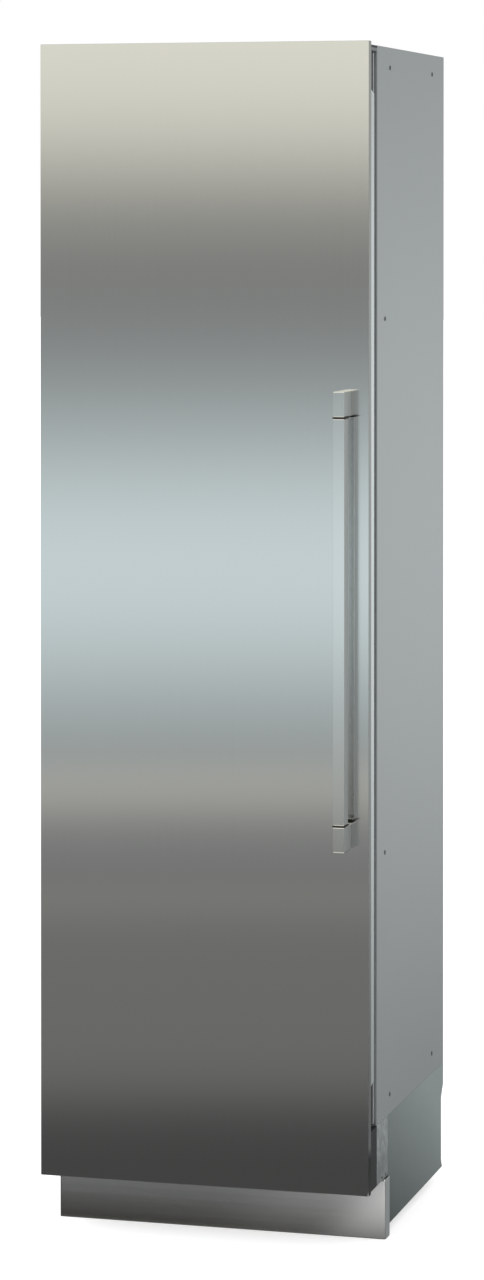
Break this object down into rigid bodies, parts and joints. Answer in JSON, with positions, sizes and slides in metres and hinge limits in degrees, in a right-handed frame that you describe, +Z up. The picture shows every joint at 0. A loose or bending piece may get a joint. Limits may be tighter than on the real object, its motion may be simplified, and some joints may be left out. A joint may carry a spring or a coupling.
{
  "type": "integrated freezer",
  "caption": "Tall built-in column freezer with one full-height hinged steel door, bar handle, shelves, drawers and ice maker inside, on a plinth base.",
  "frame": {"origin": "on the floor under the middle of the whole object's box, handle included", "axes": "+X right as seen from the front, +Y to the back, +Z up"},
  "size_m": [0.61, 0.658, 2.132],
  "materials": {
    "brushed_steel": "vertically brushed, satin",
    "grey_sheet": "satin grey paint",
    "white_plastic": "smooth white",
    "foam": "rigid foam",
    "gasket_rubber": "soft grey",
    "aluminium": "satin anodised",
    "black_plastic": "matte black",
    "clear_plastic": "translucent, slightly cool",
    "zinc_steel": "zinc-plated steel",
    "glass": "clear safety glass",
    "light_diffuser": "frosted light cover",
    "base_plastic": "matte dark grey-green",
    "black_enamel": "black enamel"
  },
  "bodies": {
    "cabinet": {"side_panel_right": "grey_sheet", "side_panel_left": "grey_sheet", "top_panel": "grey_sheet", "back_panel": "grey_sheet", "cabinet_insulation": "foam", "inner_liner": "white_plastic", "top_trim": "black_plastic", "hinge_top": "zinc_steel", "hinge_bottom": "zinc_steel", "glass_shelf_lower": "glass", "shelf_trim_lower": "white_plastic", "glass_shelf_middle": "glass", "shelf_trim_middle": "white_plastic", "glass_shelf_upper": "glass", "shelf_trim_upper": "white_plastic", "evaporator_cover": "white_plastic", "evaporator": "aluminium", "fan_motor": "zinc_steel", "light_column_left": "light_diffuser", "light_column_right": "light_diffuser", "control_panel": "white_plastic", "ice_maker_hood": "white_plastic", "drawer_runners_lower": "zinc_steel", "drawer_runners_upper": "zinc_steel", "base_side_right": "base_plastic", "base_side_left": "base_plastic", "cross_member": "zinc_steel", "base_front": "black_plastic", "toe_kick": "brushed_steel", "base_tray": "zinc_steel", "compressor": "black_enamel", "drip_tray": "black_plastic", "condenser": "zinc_steel", "terminal_box": "black_plastic"},
    "door": {"door_panel": "brushed_steel", "door_shell": "grey_sheet", "door_liner": "white_plastic", "door_insulation": "foam", "door_gasket": "gasket_rubber", "edge_strip_right": "aluminium", "edge_strip_left": "aluminium", "handle_post_lower": "brushed_steel", "handle_post_upper": "brushed_steel", "handle_ring_lower": "black_plastic", "handle_ring_upper": "black_plastic", "handle_bar": "brushed_steel", "hinge_bush_top": "black_plastic", "hinge_bush_bottom": "black_plastic", "door_rack_lower": "clear_plastic", "door_rack_upper": "clear_plastic"},
    "lower_drawer": {"drawer_lower": "clear_plastic"},
    "upper_drawer": {"drawer_upper": "clear_plastic"},
    "ice_bin": {"ice_bin": "clear_plastic"},
    "ice_tray": {"ice_tray": "white_plastic"},
    "evaporator_fan": {"evaporator_fan": "black_plastic"},
    "condenser_fan": {"condenser_fan": "black_plastic"},
    "foot_left": {"foot_left": "black_plastic"},
    "foot_right": {"foot_right": "black_plastic"},
    "wheel_left": {"wheel_left": "black_plastic"},
    "wheel_right": {"wheel_right": "black_plastic"}
  },
  "joints": [
    {"name": "door_hinge", "type": "hinge", "parent": "cabinet", "child": "door", "pos_m": [-0.287, -0.241, 0.222], "axis": [0, 0, -1], "range_deg": [0, 115]},
    {"name": "lower_drawer_slide", "type": "slide", "parent": "cabinet", "child": "lower_drawer", "axis": [0, -1, 0], "range_m": [0, 0.28]},
    {"name": "upper_drawer_slide", "type": "slide", "parent": "cabinet", "child": "upper_drawer", "axis": [0, -1, 0], "range_m": [0, 0.28]},
    {"name": "ice_bin_slide", "type": "slide", "parent": "cabinet", "child": "ice_bin", "axis": [0, -1, 0], "range_m": [0, 0.25]},
    {"name": "ice_tray_twist", "type": "hinge", "parent": "cabinet", "child": "ice_tray", "pos_m": [-0.125, 0.048, 1.984], "axis": [0, 1, 0], "range_deg": [0, 160]},
    {"name": "evaporator_fan_spin", "type": "hinge", "parent": "cabinet", "child": "evaporator_fan", "pos_m": [0, 0.212, 1.48], "axis": [0, 1, 0], "continuous": true},
    {"name": "condenser_fan_spin", "type": "hinge", "parent": "cabinet", "child": "condenser_fan", "pos_m": [-0.11, -0.02517, 0.1083], "axis": [0, 1, 0], "continuous": true},
    {"name": "foot_left_screw", "type": "slide", "parent": "cabinet", "child": "foot_left", "axis": [0, 0, -1], "range_m": [0, 0.02]},
    {"name": "foot_right_screw", "type": "slide", "parent": "cabinet", "child": "foot_right", "axis": [0, 0, -1], "range_m": [0, 0.02]},
    {"name": "wheel_left_spin", "type": "hinge", "parent": "cabinet", "child": "wheel_left", "pos_m": [-0.225, 0.243, 0.019], "axis": [1, 0, 0], "continuous": true},
    {"name": "wheel_right_spin", "type": "hinge", "parent": "cabinet", "child": "wheel_right", "pos_m": [0.225, 0.243, 0.019], "axis": [1, 0, 0], "continuous": true}
  ],
  "couplings": [
    {"joint": "lower_drawer_slide", "follows": "door_hinge", "m_per_rad": 0.13},
    {"joint": "upper_drawer_slide", "follows": "door_hinge", "m_per_rad": 0.13},
    {"joint": "ice_bin_slide", "follows": "door_hinge", "m_per_rad": 0.12}
  ]
}
